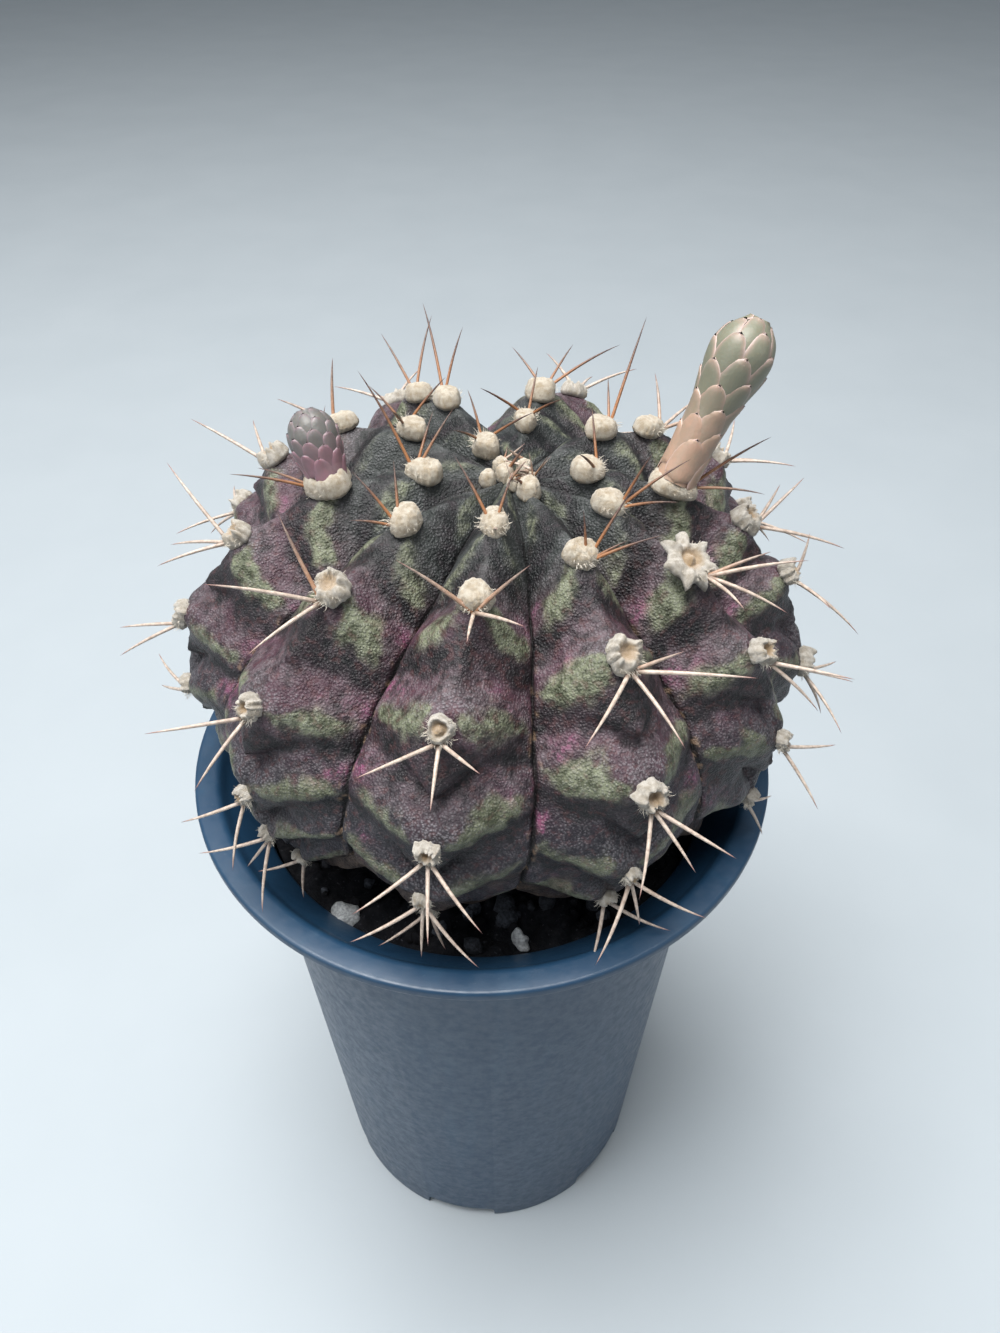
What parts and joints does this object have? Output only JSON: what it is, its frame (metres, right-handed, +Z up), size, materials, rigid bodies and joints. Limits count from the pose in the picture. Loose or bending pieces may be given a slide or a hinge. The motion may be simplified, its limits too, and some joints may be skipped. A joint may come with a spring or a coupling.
{
  "type": "potted cactus",
  "caption": "Squat ribbed T-rex gymnocalycium cactus with felted areoles, pale curved spines and two scaly flower buds, growing in a round slate-blue plastic nursery pot.",
  "frame": {"origin": "Middle of the pot's underside, on the surface that it stands on", "axes": "+Z up through the pot's mouth, -Y towards the side that the plant is seen from, +X to that viewer's right"},
  "size_m": [0.0834, 0.0819, 0.1404],
  "materials": {
    "pot": "satin thin moulded polypropylene, slate blue",
    "soil": "dark loose potting mix with grey pumice",
    "grain": "rough white pumice",
    "skin": "waxy finely pitted plant skin, purple brown with green bands",
    "felt": "cream wool felt with horn-coloured spines",
    "bud": "waxy overlapping scales, pinkish beige"
  },
  "bodies": {
    "root": {"pot": "pot", "soil": "soil", "white_grain_left": "grain", "white_grain_front": "grain", "stem": "skin", "crown_wool": "felt", "flower_bud_tall": "bud", "flower_bud_short": "bud", "areole_a1": "felt", "areole_a2": "felt", "areole_a3": "felt", "areole_a4": "felt", "areole_a5": "felt", "areole_a6": "felt", "areole_b1": "felt", "areole_b2": "felt", "areole_b3": "felt", "areole_b4": "felt", "areole_b5": "felt", "areole_c1": "felt", "areole_c2": "felt", "areole_c3": "felt", "areole_c4": "felt", "areole_c5": "felt", "areole_d1": "felt", "areole_d2": "felt", "areole_d3": "felt", "areole_d4": "felt", "areole_d5": "felt", "areole_e1": "felt", "areole_e2": "felt", "areole_e3": "felt", "areole_e4": "felt", "areole_e5": "felt", "areole_f1": "felt", "areole_f2": "felt", "areole_f3": "felt", "areole_f4": "felt", "areole_f5": "felt", "areole_g1": "felt", "areole_g2": "felt", "areole_g3": "felt", "areole_g4": "felt", "areole_g5": "felt", "areole_h1": "felt", "areole_h2": "felt", "areole_h3": "felt", "areole_h4": "felt", "areole_h5": "felt", "areole_j1": "felt", "areole_j2": "felt", "areole_j3": "felt", "areole_j4": "felt", "areole_j5": "felt", "areole_k1": "felt", "areole_k2": "felt", "areole_k3": "felt", "areole_k4": "felt", "areole_k5": "felt", "areole_k6": "felt"}
  },
  "joints": []
}
